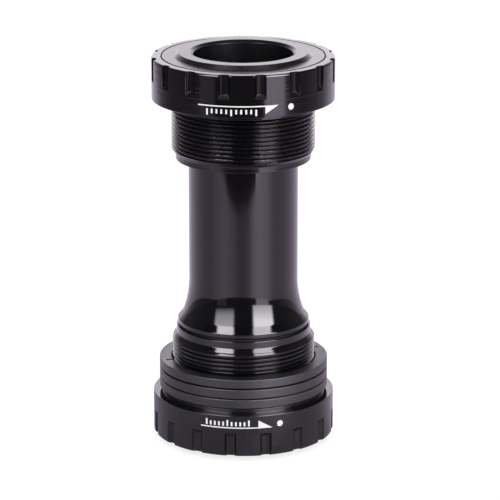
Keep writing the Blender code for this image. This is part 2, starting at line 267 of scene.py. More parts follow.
def flange_rows(angles, groove):
    """Rows over the rim's rounded edge and down the flange, cut by the notches."""
    corner = FLANGE_RADIUS - RIM_ROUND
    rows = []
    for k in range(RIM_STEPS + 1):
        tilt = math.radians(90.0 * k / RIM_STEPS)
        radius = corner + RIM_ROUND * math.sin(tilt)
        depth = RIM_ROUND * (1.0 - math.cos(tilt))
        # Where the notch has taken the edge away, the row stops at the notch floor.
        cut = np.clip((groove - corner) / RIM_ROUND, 0.0, 1.0)
        cut_depth = RIM_ROUND * (1.0 - np.sqrt(1.0 - cut ** 2))
        rows.append(ring(np.minimum(radius, groove),
                         np.minimum(depth, cut_depth), angles))
    # The corner between the groove and its sloping end is blended by a short curve.
    end = NOTCH_FLAT_LENGTH + groove - (FLANGE_RADIUS - NOTCH_DEPTH)
    reach = np.minimum(NOTCH_FILLET, 1.1 * (FLANGE_RADIUS - groove))
    for share in (0.0, 0.25, 0.5, 0.75, 1.0):
        up = reach * (1.0 - share) ** 2
        out = reach * share ** 2 * math.sqrt(0.5)
        rows.append(ring(groove + out, end - up + out, angles))
    rows.append(ring(FLANGE_RADIUS, NOTCH_FLAT_LENGTH + NOTCH_DEPTH, angles))
    return rows


def thread_rows(angles, end, runout, hand):
    """Rows that climb along a helix, held between the thread's two end rings. Near
    the end the root rises to the runout radius."""
    share = (angles - angles[0]) / TURN
    if hand == LEFT_HAND:
        share = 1.0 - share
    turns = math.ceil((end - THREAD_START) / THREAD_PITCH) + 1
    rows = []
    for turn in range(-1, turns):
        for place, height in THREAD_FORM:
            depth = THREAD_START + THREAD_PITCH * (turn + place + share)
            depth = np.clip(depth, THREAD_START, end)
            radius = THREAD_ROOT + (THREAD_CREST - THREAD_ROOT) * height
            lead = THREAD_ROOT + LEAD_SLOPE * (depth - THREAD_START)
            chamfer = runout + CHAMFER_SLOPE * (end - depth)
            fade = np.clip(1.0 - (end - depth) / ROOT_FADE, 0.0, 1.0)
            root = THREAD_ROOT + (runout - THREAD_ROOT) * fade
            radius = np.minimum(np.minimum(radius, lead), chamfer)
            radius = np.where(depth > THREAD_START, np.maximum(radius, root), THREAD_ROOT)
            rows.append(ring(radius, depth, angles))
    return rows


def cup_mesh(name, length, pilot_length, runout, mouth, phase, hand):
    """A whole cup in its rim's frame; mouth is the outline round its inboard end."""
    angles, groove = notch_columns(phase)
    rows = [ring(COUNTERBORE_RADIUS + COUNTERBORE_ROUND, 0.0, angles)]
    rows += flange_rows(angles, groove)
    step = fillet([
        (FLANGE_RADIUS, FLANGE_WIDTH - MM, 0.0),
        (FLANGE_RADIUS, FLANGE_WIDTH, 0.15 * MM),
        (SHOULDER_RADIUS, FLANGE_WIDTH, 0.06 * MM),
        (SHOULDER_RADIUS, SHOULDER_DEPTH, 0.15 * MM),
        (UNDERCUT_RADIUS, SHOULDER_DEPTH, 0.1 * MM),
        (UNDERCUT_RADIUS, UNDERCUT_DEPTH, 0.05 * MM),
        (THREAD_ROOT, UNDERCUT_DEPTH, 0.15 * MM),
        (THREAD_ROOT, THREAD_START, 0.0),
    ], closed=False)
    rows += [ring(r, z, angles) for r, z in step]
    chamfer_length = (runout - PILOT_RADIUS) / CHAMFER_SLOPE
    thread_end = length - pilot_length - chamfer_length
    rows += thread_rows(angles, thread_end, runout, hand)
    inside = fillet([
        (runout, thread_end, 0.0),
        (PILOT_RADIUS, length - pilot_length, 0.2 * MM),
        (PILOT_RADIUS, length, 0.12 * MM),
        *mouth,
        (BORE_RADIUS, SEAT_FLOOR, 0.0),
        (SEAT_RADIUS, SEAT_FLOOR, 0.1 * MM),
        (SEAT_RADIUS, COUNTERBORE_DEPTH, 0.08 * MM),
        (COUNTERBORE_RADIUS, COUNTERBORE_DEPTH, 0.05 * MM),
        (COUNTERBORE_RADIUS, 0.0, 0.0),
    ], closed=False)
    inside[-1] = (COUNTERBORE_RADIUS, COUNTERBORE_ROUND)
    rows += [ring(r, z, angles) for r, z in inside]
    return make_mesh(name, rows)


NOTCH_INSIDE = COUNTERBORE_RADIUS + 0.2 * MM
NOTCH_OUTSIDE = FLANGE_RADIUS - 0.01 * MM


def mark_notches(mesh):
    """Give a cup's notches, still in its rim's frame, the second material."""
    for face in mesh.polygons:
        x, y, depth = face.center
        radius = math.hypot(x, y)
        in_groove = NOTCH_INSIDE < radius < NOTCH_OUTSIDE
        if in_groove and RIM_ROUND < depth < NOTCH_FLAT_LENGTH + NOTCH_DEPTH:
            face.material_index = 1


def build_left_cup(materials):
    """Satin cup with a right-hand thread and a recessed mouth for the sleeve's spigot."""
    recess = LEFT_CUP_LENGTH - LEFT_MOUTH_DEPTH
    mouth = [
        (LEFT_MOUTH_RADIUS, LEFT_CUP_LENGTH, 0.08 * MM),
        (LEFT_MOUTH_RADIUS, recess, 0.1 * MM),
        (BORE_RADIUS, recess, 0.1 * MM),
    ]
    cup = cup_mesh("left_cup_machined", LEFT_CUP_LENGTH, LEFT_PILOT_LENGTH, LEFT_RUNOUT,
                   mouth, LEFT_NOTCH_PHASE, RIGHT_HAND)
    add_piece(seated(cup, "left"), "left_cup_body",
              materials["satin_anodise"], ["left_cup"])


def build_right_cup(materials):
    """Polished cup with a left-hand thread; its notches are left as milled."""
    mouth = [(BORE_RADIUS, RIGHT_CUP_LENGTH, 0.25 * MM)]
    cup = cup_mesh("right_cup_machined", RIGHT_CUP_LENGTH, RIGHT_PILOT_LENGTH,
                   RIGHT_RUNOUT, mouth, RIGHT_NOTCH_PHASE, LEFT_HAND)
    mark_notches(cup)
    piece = add_piece(seated(cup, "right"), "right_cup_body",
                      materials["polished_anodise"], ["right_cup"])
    piece.data.materials.append(materials["milled_anodise"])


# ---------------------------------------------------------------- bearings

# Sealed ball bearings of 25 x 37 x 7 mm, in the rim's frame
BEARING_MIDDLE = 5.1 * MM
HALF_WIDTH = 3.5 * MM
OUTBOARD_FACE = BEARING_MIDDLE - HALF_WIDTH
INBOARD_FACE = BEARING_MIDDLE + HALF_WIDTH
RACE_OUTSIDE = 18.5 * MM
RACE_BORE = 12.5 * MM
OUTER_LAND = 16.6 * MM
INNER_LAND = 14.3 * MM
SEAL_SEAT = 17.1 * MM
SEAL_SEAT_DEPTH = 1.0 * MM
PITCH_RADIUS = 15.5 * MM
GROOVE_RADIUS = 1.85 * MM
BALL_RADIUS = 1.7 * MM
BALLS = 16


def groove_profile(land):
    """The ball groove of the race whose land beside it has the given radius."""
    side = 1.0 if land > PITCH_RADIUS else -1.0
    middle = 0.0 if land > PITCH_RADIUS else 180.0
    lean = math.degrees(math.acos(abs(land - PITCH_RADIUS) / GROOVE_RADIUS))
    groove = arc((PITCH_RADIUS, BEARING_MIDDLE), GROOVE_RADIUS,
                 middle - side * lean, middle + side * lean, 12)
    return [(r, z, 0.0) for r, z in groove]


def build_races(side, materials):
    """Outer and inner race of one end's bearing."""
    name = side + "_bearing_"
    steel = materials["bearing_steel"]
    outer = turned(name + "outer_ring", [
        (RACE_OUTSIDE, OUTBOARD_FACE, 0.35 * MM),
        (SEAL_SEAT, OUTBOARD_FACE, 0.08 * MM),
        (SEAL_SEAT, OUTBOARD_FACE + SEAL_SEAT_DEPTH, 0.05 * MM),
        (OUTER_LAND, OUTBOARD_FACE + SEAL_SEAT_DEPTH, 0.05 * MM),
        *groove_profile(OUTER_LAND),
        (OUTER_LAND, INBOARD_FACE - SEAL_SEAT_DEPTH, 0.05 * MM),
        (SEAL_SEAT, INBOARD_FACE - SEAL_SEAT_DEPTH, 0.05 * MM),
        (SEAL_SEAT, INBOARD_FACE, 0.08 * MM),
        (RACE_OUTSIDE, INBOARD_FACE, 0.35 * MM),
    ])
    add_piece(seated(outer, side), side + "_cup_body", steel,
              [name + "outer_race"])
    inner = turned(name + "inner_ring", [
        (RACE_BORE, OUTBOARD_FACE, 0.3 * MM),
        (INNER_LAND, OUTBOARD_FACE, 0.12 * MM),
        *groove_profile(INNER_LAND),
        (INNER_LAND, INBOARD_FACE, 0.12 * MM),
        (RACE_BORE, INBOARD_FACE, 0.3 * MM),
    ])
    add_piece(seated(inner, side), side + "_rotor", steel,
              [name + "inner_race"])


SEAL_SET_BACK = 0.15 * MM
SEAL_THICKNESS = 0.7 * MM
SEAL_DIP = 0.2 * MM
LIP_RADIUS = 14.5 * MM
DIP_INSIDE = 15.2 * MM
DIP_OUTSIDE = 16.4 * MM
SEAL_RADIUS = 16.95 * MM


def build_seals(side, materials):
    """A rubber seal with a shallow dip round it on each face of the bearing."""
    name = side + "_bearing_"
    for place, sign in (("outboard", -1.0), ("inboard", 1.0)):
        face = BEARING_MIDDLE + sign * (HALF_WIDTH - SEAL_SET_BACK)
        back = face - sign * SEAL_THICKNESS
        dip = face - sign * SEAL_DIP
        seal = turned(name + place + "_lip_seal", [
            (LIP_RADIUS, face, 0.08 * MM),
            (DIP_INSIDE - SEAL_DIP, face, 0.1 * MM),
            (DIP_INSIDE, dip, 0.1 * MM),
            (DIP_OUTSIDE, dip, 0.1 * MM),
            (DIP_OUTSIDE + SEAL_DIP, face, 0.1 * MM),
            (SEAL_RADIUS, face, 0.08 * MM),
            (SEAL_RADIUS, back, 0.08 * MM),
            (LIP_RADIUS, back, 0.15 * MM),
        ])
        add_piece(seated(seal, side), side + "_cup_body",
                  materials["seal_rubber"], [name + place + "_seal"])


def build_ball_set(side, materials):
    """The cage and its balls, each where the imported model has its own."""
    name = side + "_bearing_"
    cage = cage_mesh(name + "crown_cage")
    add_piece(seated(cage, side), side + "_ball_set",
              materials["cage_nylon"], [name + "cage"])
    ball = bmesh.new()
    bmesh.ops.create_uvsphere(ball, u_segments=32, v_segments=16, radius=BALL_RADIUS)
    for index in range(BALLS):
        node_name = "%sball_%02d" % (name, index + 1)
        low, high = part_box(node_name)
        mesh = bpy.data.meshes.new(node_name + "_ground")
        ball.to_mesh(mesh)
        for vertex in mesh.vertices:
            vertex.co += (low + high) / 2.0
        add_piece(mesh, side + "_ball_set", materials["bearing_steel"],
                  [node_name])
    ball.free()


CAGE_INSIDE = 14.75 * MM
CAGE_OUTSIDE = 16.25 * MM
CAGE_BACK = BEARING_MIDDLE + 2.45 * MM
CAGE_BASE = BEARING_MIDDLE + 1.85 * MM
CAGE_TIP = BEARING_MIDDLE - 0.95 * MM
CAGE_BEVEL = 0.12 * MM
CAGE_CROWN = 0.08 * MM
POCKET_RADIUS = BALL_RADIUS + 0.15 * MM
CELLS_PER_BALL = 12


def cage_mesh(name):
    """Crown cage: a ring whose near face waves between the balls like fingers."""
    angles = even_angles(BALLS * CELLS_PER_BALL)
    # Distance round the pitch circle to the nearest ball decides the pocket's depth.
    phase = (angles * BALLS / TURN + 0.5) % 1.0 - 0.5
    gap = np.abs(phase) * TURN * PITCH_RADIUS / BALLS
    pocket = np.sqrt(np.clip(POCKET_RADIUS ** 2 - gap ** 2, 0.0, None))
    near = np.where(gap < POCKET_RADIUS,
                    np.minimum(BEARING_MIDDLE + pocket, CAGE_BASE), CAGE_TIP)
    rows = [
        ring(CAGE_INSIDE, near, angles),
        ring(CAGE_INSIDE + CAGE_BEVEL, near - CAGE_CROWN, angles),
        ring(CAGE_OUTSIDE - CAGE_BEVEL, near - CAGE_CROWN, angles),
        ring(CAGE_OUTSIDE, near, angles),
        ring(CAGE_OUTSIDE, CAGE_BACK - CAGE_BEVEL, angles),
        ring(CAGE_OUTSIDE - CAGE_BEVEL, CAGE_BACK, angles),
        ring(CAGE_INSIDE + CAGE_BEVEL, CAGE_BACK, angles),
        ring(CAGE_INSIDE, CAGE_BACK - CAGE_BEVEL, angles),
    ]
    return make_mesh(name, rows)


# ---------------------------------------------------------------- moulded parts

# Dust covers, in the rim's frame: the disc lies just proud of the cup's rim
COVER_BORE = 12.0 * MM
LINING_RADIUS = 12.38 * MM
LINING_END = 8.9 * MM
BOSS_RADIUS = 14.2 * MM
BOSS_END = 1.5 * MM
DISC_RADIUS = 19.45 * MM
DISC_FACE = -0.02 * MM
DISC_BACK = 1.0 * MM


def build_cover(side, materials):
    """Dust cover: outer disc, raised ring with a sloping side, boss and bore lining."""
    mesh = turned(side + "_cover_moulded", [
        (12.8 * MM, -COVER_HEIGHT, 0.10 * MM),
        (15.6 * MM, -COVER_HEIGHT, 0.15 * MM),
        (16.55 * MM, DISC_FACE, 0.15 * MM),
        (DISC_RADIUS, DISC_FACE, 0.18 * MM),
        (DISC_RADIUS, DISC_BACK, 0.1 * MM),
        (BOSS_RADIUS, DISC_BACK, 0.1 * MM),
        (BOSS_RADIUS, BOSS_END, 0.1 * MM),
        (LINING_RADIUS, BOSS_END, 0.1 * MM),
        (LINING_RADIUS, LINING_END, 0.1 * MM),
        (COVER_BORE, LINING_END, 0.15 * MM),
        (COVER_BORE, -0.32 * MM, 0.06 * MM),
    ])
    add_piece(seated(mesh, side), side + "_rotor",
              materials["cover_plastic"], [side + "_dust_cover"])


# Centre sleeve
TUBE_RADIUS = 13.2 * MM
TUBE_BORE = 12.4 * MM
SPIGOT_RADIUS = 14.15 * MM
SLEEVE_RIM_LOW = 28.65 * MM
SLEEVE_RIM_TOP = 29.65 * MM
FLARE_RADIUS = 24.9 * MM
FLARE_LOW = 31.15 * MM
FLARE_TOP = 39.8 * MM
COLLAR_RADIUS = 14.3 * MM
COLLAR_LOW = 69.9 * MM
SLEEVE_SEGMENTS = 224
O_RING_SEGMENTS = 160


def build_sleeve(materials):
    """Centre sleeve: spigot, end rim, flare, long tube and snap collar."""
    low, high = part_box("centre_sleeve")
    rim_radius = high.x - SKIN
    sweep = math.degrees(math.asin((FLARE_TOP - FLARE_LOW) / FLARE_RADIUS))
    flare = arc((TUBE_RADIUS + FLARE_RADIUS, FLARE_TOP), FLARE_RADIUS,
                180.0 + sweep, 180.0, 24)
    mesh = turned("centre_sleeve_moulded", [
        (TUBE_BORE, low.z, 0.1 * MM),
        (SPIGOT_RADIUS, low.z, 0.3 * MM),
        (SPIGOT_RADIUS, SLEEVE_RIM_LOW, 0.05 * MM),
        (rim_radius, SLEEVE_RIM_LOW, 0.12 * MM),
        (rim_radius, SLEEVE_RIM_TOP, 0.3 * MM),
        *[(r, z, 0.0) for r, z in flare],
        (TUBE_RADIUS, COLLAR_LOW, 0.05 * MM),
        (COLLAR_RADIUS, COLLAR_LOW, 0.15 * MM),
        (COLLAR_RADIUS, high.z, 0.2 * MM),
        (TUBE_BORE, high.z, 0.1 * MM),
    ], segments=SLEEVE_SEGMENTS)
    add_piece(mesh, "right_cup_body", materials["sleeve_plastic"],
              ["centre_sleeve"])


def build_o_ring(materials):
    """The O-ring round the spigot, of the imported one's size."""
    low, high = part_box("sleeve_o_ring")
    section = (high.z - low.z) / 2.0
    centre = (high.x - section, (low.z + high.z) / 2.0)
    angles = even_angles(O_RING_SEGMENTS)
    circle = arc(centre, section, 0.0, 360.0, 20)[:-1]
    mesh = make_mesh("sleeve_o_ring_moulded", [ring(r, z, angles) for r, z in circle])
    add_piece(mesh, "o_ring", materials["seal_rubber"], ["sleeve_o_ring"])


SPACER_BORE = 17.62 * MM
SPACER_RELIEF = 1.3 * MM
SPACER_BEVEL = 0.1 * MM
SPACER_CELLS = 200
SLIT_WIDTH = 0.85 * MM
SLIT_DEPTH = 1.2 * MM
SLIT_END = 19.3 * MM
SLIT_END_LEAN = 0.02 * MM
SLIT_FLOOR_SHARE = 0.96
# For each spacer: how tall its relief is, and where its slits are, in degrees
SPACERS = {
    "spacer_1": (0.30 * MM, (95.0,)),
    "spacer_2": (0.24 * MM, (318.0,)),
    "spacer_3": (0.36 * MM, (18.0, 193.5)),
}


def slit_columns(slits, radius):
    """Column angles round a spacer and, for each, 1 within a slit and 0 elsewhere."""
    half = SLIT_WIDTH / 2.0 / radius
    floor = SLIT_FLOOR_SHARE * half
    angles = []
    marks = []
    for index, middle in enumerate(slits):
        following = slits[(index + 1) % len(slits)]
        span = (following - middle) % TURN or TURN
        angles += [middle - half, middle - floor, middle + floor, middle + half]
        marks += [0.0, 1.0, 1.0, 0.0]
        cells = math.ceil(span / TURN * SPACER_CELLS)
        for k in range(1, cells):
            angles.append(middle + half + (span - 2.0 * half) * k / cells)
            marks.append(0.0)
    angles.append(angles[0] + TURN)
    marks.append(0.0)
    return np.array(angles), np.array(marks)


def build_spacers(materials):
    """Three rings, relieved round the lower edge; narrow slits cross the upper faces
    from the inside."""
    for node_name, (relief_height, slits) in SPACERS.items():
        low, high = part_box(node_name)
        outer = high.x - SKIN
        angles, marks = slit_columns([math.radians(slit) for slit in slits], outer)
        cut = marks * SLIT_DEPTH
        relief = outer - SPACER_RELIEF
        below = low.z + relief_height
        outside = fillet([
            (SPACER_BORE, low.z, 0.15 * MM),
            (relief, low.z, 0.03 * MM),
            (relief, below, 0.03 * MM),
            (outer, below, 0.10 * MM),
            (outer, high.z, 0.16 * MM),
            (SLIT_END + SLIT_END_LEAN, high.z, 0.0),
        ], closed=False)
        rows = [ring(r, z, angles) for r, z in outside]
        rows.append(ring(SLIT_END, high.z - cut, angles))
        rows.append(ring(SPACER_BORE + SPACER_BEVEL, high.z - cut, angles))
        rows.append(ring(SPACER_BORE, high.z - np.maximum(cut, SPACER_BEVEL), angles))
        mesh = make_mesh(node_name + "_moulded", rows)
        add_piece(mesh, node_name + "_body",
                  materials["spacer_plastic"], [node_name])


# ---------------------------------------------------------------- printed marks

INK_HEIGHT = 0.012 * MM
INK_ROOT = 0.05 * MM
INK_STEP_DEGREES = 1.2
LINE_THICKNESS = 0.28 * MM
ARROW_HEIGHT = 2.0 * MM
TICKS = 11
LONG_TICK_EVERY = 5
SHORTER_BY = 0.3
TICK_HALF_DEGREES = 0.55
DOT_RADIUS = 0.75 * MM
DOT_STEPS = 20
# The dot's two ends keep a little height, so that its patch stays closed.
DOT_END = 0.002


def ink_patch(left, right, lower, upper, least_steps=2):
    """One closed patch of ink on the flange. lower and upper give its edges' heights
    at a share from 0 at its left end to 1 at its right end; ends are in degrees."""
    steps = max(least_steps, math.ceil(abs(right - left) / INK_STEP_DEGREES))
    inside = FLANGE_RADIUS - INK_ROOT
    outside = FLANGE_RADIUS + INK_HEIGHT
    points = []
    for k in range(steps + 1):
        share = k / steps
        angle = math.radians(left + (right - left) * share - 90.0)
        for radius in (inside, outside):
            for height in (lower(share), upper(share)):
                points.append((radius * math.cos(angle), radius * math.sin(angle), height))
    faces = []
    for k in range(steps):
        a = 4 * k
        b = a + 4
        faces += [(a, b, b + 1, a + 1), (a + 2, a + 3, b + 3, b + 2),
                  (a, a + 2, b + 2, b), (a + 1, b + 1, b + 3, a + 3)]
    last = 4 * steps
    faces += [(0, 1, 3, 2), (last, last + 2, last + 3, last + 1)]
    return points, faces


def dot_patch(angle, height):
    """A round dot of ink."""
    spread = math.degrees(DOT_RADIUS / FLANGE_RADIUS)

    def half_height(share):
        return DOT_RADIUS * math.sqrt(max(DOT_END, 1.0 - (2.0 * share - 1.0) ** 2))

    return ink_patch(angle - spread, angle + spread, lambda s: height - half_height(s),
                     lambda s: height + half_height(s), least_steps=DOT_STEPS)


def tick_patches(left, right, lower, upper, flip):
    """A row of ticks. The short ones line up with the long ones at their lower ends,
    or at their upper ends if flipped."""
    patches = []
    for index in range(TICKS):
        angle = left + (right - left) * index / (TICKS - 1)
        shorter = 0.0 if index % LONG_TICK_EVERY == 0 else SHORTER_BY * (upper - lower)
        bottom = lower + shorter if flip else lower
        top = upper if flip else upper - shorter
        patches.append(ink_patch(angle - TICK_HALF_DEGREES, angle + TICK_HALF_DEGREES,
                                 lambda s: bottom, lambda s: top))
    return patches


def marks_mesh(name, line, arrow, ticks, dot, flip):
    """Direction arrow, a row of plain tick marks beside it and a dot, in white ink.

    line is (left, right), arrow (left, right, height of both), ticks (left, right,
    lower, upper) and dot (angle, height), with angles in degrees from the front. flip
    turns the arrowhead's solid side down.
    """
    left, right, height = arrow
    top = height + LINE_THICKNESS
    patches = [ink_patch(*line, lambda s: height, lambda s: top)]
    if flip:
        patches.append(ink_patch(left, right, lambda s: top - ARROW_HEIGHT * (1.0 - s),
                                 lambda s: top))
    else:
        patches.append(ink_patch(left, right, lambda s: height,
                                 lambda s: height + ARROW_HEIGHT * (1.0 - s)))
    patches += tick_patches(*ticks, flip)
    patches.append(dot_patch(*dot))
    points = []
    faces = []
    for patch_points, patch_faces in patches:
        offset = len(points)
        points += patch_points
        faces += [tuple(corner + offset for corner in face) for face in patch_faces]
    mesh = bpy.data.meshes.new(name)
    mesh.from_pydata(points, [], faces)
    weld(mesh)
    return mesh


def build_marks(materials):
    """White marks on both flanges, showing which way each cup tightens."""
    right = marks_mesh("right_cup_printed_arrow", line=(-28.5, 14.0),
                       arrow=(13.7, 22.0, 87.2 * MM),
                       ticks=(-22.5, 8.0, 85.1 * MM, 86.6 * MM),
                       dot=(30.6, 86.7 * MM), flip=True)
    add_piece(right, "right_cup_body", materials["white_ink"])
    left = marks_mesh("left_cup_printed_arrow", line=(-27.5, 10.0),
                      arrow=(9.5, 18.6, 8.1 * MM),
                      ticks=(-23.5, 3.5, 8.7 * MM, 10.2 * MM),
                      dot=(23.6, 8.9 * MM), flip=False)
    add_piece(left, "left_cup_body", materials["white_ink"])


# ---------------------------------------------------------------- materials

def new_material(name, colour, roughness, ior=1.5, metallic=0.0):
    """A Principled material; returns it with its node tree and its shader node."""
    material = bpy.data.materials.new(name)
    material.use_nodes = True
    tree = material.node_tree
    shader = tree.nodes["Principled BSDF"]
    shader.inputs["Base Color"].default_value = (*colour, 1.0)
    shader.inputs["Roughness"].default_value = roughness
    shader.inputs["IOR"].default_value = ior
    shader.inputs["Metallic"].default_value = metallic
    return material, tree, shader


def node(tree, kind, **inputs):
    """Add a node and set its unlinked inputs by name."""
    new = tree.nodes.new(kind)
    for key, value in inputs.items():
        new.inputs[key.replace("_", " ")].default_value = value
    return new


def object_point(tree):
    """Object coordinates, in metres from the bracket's origin."""
    return tree.nodes.new("ShaderNodeTexCoord").outputs["Object"]


def object_axes(tree):
    """X, Y and Z of the object coordinates."""
    split = tree.nodes.new("ShaderNodeSeparateXYZ")
    tree.links.new(object_point(tree), split.inputs["Vector"])
    return split.outputs["X"], split.outputs["Y"], split.outputs["Z"]


def noise(tree, scale, detail=3.0, roughness=0.5, stretch=(1.0, 1.0, 1.0)):
    """Noise in object space, stretched along the axes."""
    mapping = node(tree, "ShaderNodeMapping", Scale=stretch)
    tree.links.new(object_point(tree), mapping.inputs["Vector"])
    texture = node(tree, "ShaderNodeTexNoise", Scale=scale, Detail=detail,
                   Roughness=roughness)
    tree.links.new(mapping.outputs["Vector"], texture.inputs["Vector"])
    return texture.outputs["Fac"]


def remap(tree, value, low, high, to_low, to_high):
    """Map a value's range low..high to to_low..to_high, clamped."""
    mapped = tree.nodes.new("ShaderNodeMapRange")
    tree.links.new(value, mapped.inputs["Value"])
    for key, number in (("From Min", low), ("From Max", high),
                        ("To Min", to_low), ("To Max", to_high)):
        mapped.inputs[key].default_value = number
    return mapped.outputs["Result"]


def calculate(tree, operation, *values):
    """A Math node over sockets and numbers."""
    math_node = tree.nodes.new("ShaderNodeMath")
    math_node.operation = operation
    for index, value in enumerate(values):
        if isinstance(value, (int, float)):
            math_node.inputs[index].default_value = value
        else:
            tree.links.new(value, math_node.inputs[index])
    return math_node.outputs["Value"]


def mix(tree, low, high, share):
    """low where share is 0 and high where it is 1."""
    return calculate(tree, "MULTIPLY_ADD", calculate(tree, "SUBTRACT", high, low),
                     share, low)


def window(tree, value, low, high, soft):
    """1 between low and high, falling to 0 over a soft edge."""
    rise = remap(tree, value, low - soft, low + soft, 0.0, 1.0)
    fall = remap(tree, value, high - soft, high + soft, 1.0, 0.0)
    return calculate(tree, "MULTIPLY", rise, fall)


def tint(tree, shader, value, dark, light):
    """Colour variation between two colours, driven by a 0 to 1 value."""
    ramp = tree.nodes.new("ShaderNodeValToRGB")
    ramp.color_ramp.elements[0].color = (*dark, 1.0)
    ramp.color_ramp.elements[1].color = (*light, 1.0)
    ramp.color_ramp.elements[0].position = 0.3
    ramp.color_ramp.elements[1].position = 0.7
    tree.links.new(value, ramp.inputs["Fac"])
    tree.links.new(ramp.outputs["Color"], shader.inputs["Base Color"])


def bump(tree, shader, height, distance, below=None):
    """A Bump node on the shader's normal; distance is the relief in metres."""
    relief = node(tree, "ShaderNodeBump", Distance=distance, Strength=1.0)
    tree.links.new(height, relief.inputs["Height"])
    if below is not None:
        tree.links.new(below, relief.inputs["Normal"])
    tree.links.new(relief.outputs["Normal"], shader.inputs["Normal"])
    return relief.outputs["Normal"]


def axis_distance(tree):
    """Distance from the spindle's axis, in metres."""
    x, y, _ = object_axes(tree)
    x_square = calculate(tree, "MULTIPLY", x, x)
    y_square = calculate(tree, "MULTIPLY", y, y)
    return calculate(tree, "SQRT", calculate(tree, "ADD", x_square, y_square))


def turning_lines(tree, pitch):
    """Fine lines round the axis, on the outside and on the faces alike."""
    _, _, z = object_axes(tree)
    lines = node(tree, "ShaderNodeTexNoise", Scale=1.0 / pitch, Detail=2.0)
    lines.noise_dimensions = "1D"
    along = calculate(tree, "ADD", z, axis_distance(tree))
    tree.links.new(along, lines.inputs["W"])
    return lines.outputs["Fac"]


ROUGH_LEAST = 0.85
ROUGH_MOST = 1.2


def varied(tree, value, low, high, roughness):
    """Roughness from a little under to a little over its given value."""
    return remap(tree, value, low, high, roughness * ROUGH_LEAST, roughness * ROUGH_MOST)


# Noise scales are per metre.
LINE_PITCH = 0.5 * MM
STEEL_LINE_PITCH = 0.12 * MM
HANDLING_SCALE = 90.0
GRAIN_SCALE = 9000.0
CHATTER_SCALE = 1300.0
FLOW_SCALE = 60.0
MOTTLE_SCALE = 400.0
EDGE_SOFT = 0.1 * MM
FACE_MARGIN = 0.08 * MM
FACE_SOFT = 0.03 * MM


def satin_area(tree):
    """1 on the satin surfaces of the left cup, 0 on its smoother ones: the thread and
    the flange's inboard face."""
    _, _, z = object_axes(tree)
    depth = calculate(tree, "SUBTRACT", z, LEFT_RIM_Z)
    face = window(tree, depth, FLANGE_WIDTH - FACE_MARGIN, FLANGE_WIDTH + FACE_MARGIN,
                  FACE_SOFT)
    thread = remap(tree, depth, SHOULDER_DEPTH - EDGE_SOFT, SHOULDER_DEPTH, 0.0, 1.0)
    return calculate(tree, "SUBTRACT", calculate(tree, "SUBTRACT", 1.0, face), thread)


def anodised(name, colour, light, roughness, line_relief, grain_relief,
             chatter_relief=0.0, polished=None, ior=1.5):
    """Black anodised aluminium with turning lines, grain, handling marks and chatter
    marks on the thread. polished is the roughness outside the satin area, if any."""
    material, tree, shader = new_material(name, colour, roughness, ior)
    handling = noise(tree, HANDLING_SCALE, detail=5.0, roughness=0.6)
    tint(tree, shader, handling, colour, light)
    rough = varied(tree, handling, 0.35, 0.7, roughness)
    grain = noise(tree, GRAIN_SCALE, detail=2.0)
    if polished is not None:
        satin = satin_area(tree)
        rough = mix(tree, polished, rough, satin)
        grain = calculate(tree, "MULTIPLY", grain, satin)
    tree.links.new(rough, shader.inputs["Roughness"])
    below = bump(tree, shader, turning_lines(tree, LINE_PITCH), line_relief)
    below = bump(tree, shader, grain, grain_relief, below=below)
    on_thread = window(tree, axis_distance(tree), THREAD_ROOT, THREAD_CREST, EDGE_SOFT)
    chatter = calculate(tree, "MULTIPLY", noise(tree, CHATTER_SCALE, detail=2.0),
                        on_thread)
    bump(tree, shader, chatter, chatter_relief, below=below)
    return material


def moulded(name, colour, light, roughness, grain_scale, grain_relief, flow_relief,
            ior=1.5):
    """Moulded plastic or rubber, or ink: fine grain over slow flow marks."""
    material, tree, shader = new_material(name, colour, roughness, ior)
    flow = noise(tree, FLOW_SCALE, detail=2.0, stretch=(1.0, 1.0, 0.3))
    tint(tree, shader, noise(tree, MOTTLE_SCALE, detail=4.0), colour, light)
    rough = varied(tree, flow, 0.3, 0.7, roughness)
    tree.links.new(rough, shader.inputs["Roughness"])
    below = bump(tree, shader, flow, flow_relief)
    bump(tree, shader, noise(tree, grain_scale, detail=3.0), grain_relief, below=below)
    return material


def ground_steel():
    """Ground and polished bearing steel with a fine circular grain."""
    material, tree, shader = new_material("bearing_steel_ground", (0.56, 0.56, 0.57),
                                          0.18, metallic=1.0)
    lines = turning_lines(tree, STEEL_LINE_PITCH)
    tint(tree, shader, noise(tree, 200.0), (0.50, 0.50, 0.51), (0.60, 0.60, 0.61))
    rough = remap(tree, lines, 0.3, 0.7, 0.14, 0.26)
    tree.links.new(rough, shader.inputs["Roughness"])
    bump(tree, shader, lines, 0.0006 * MM)
    return material


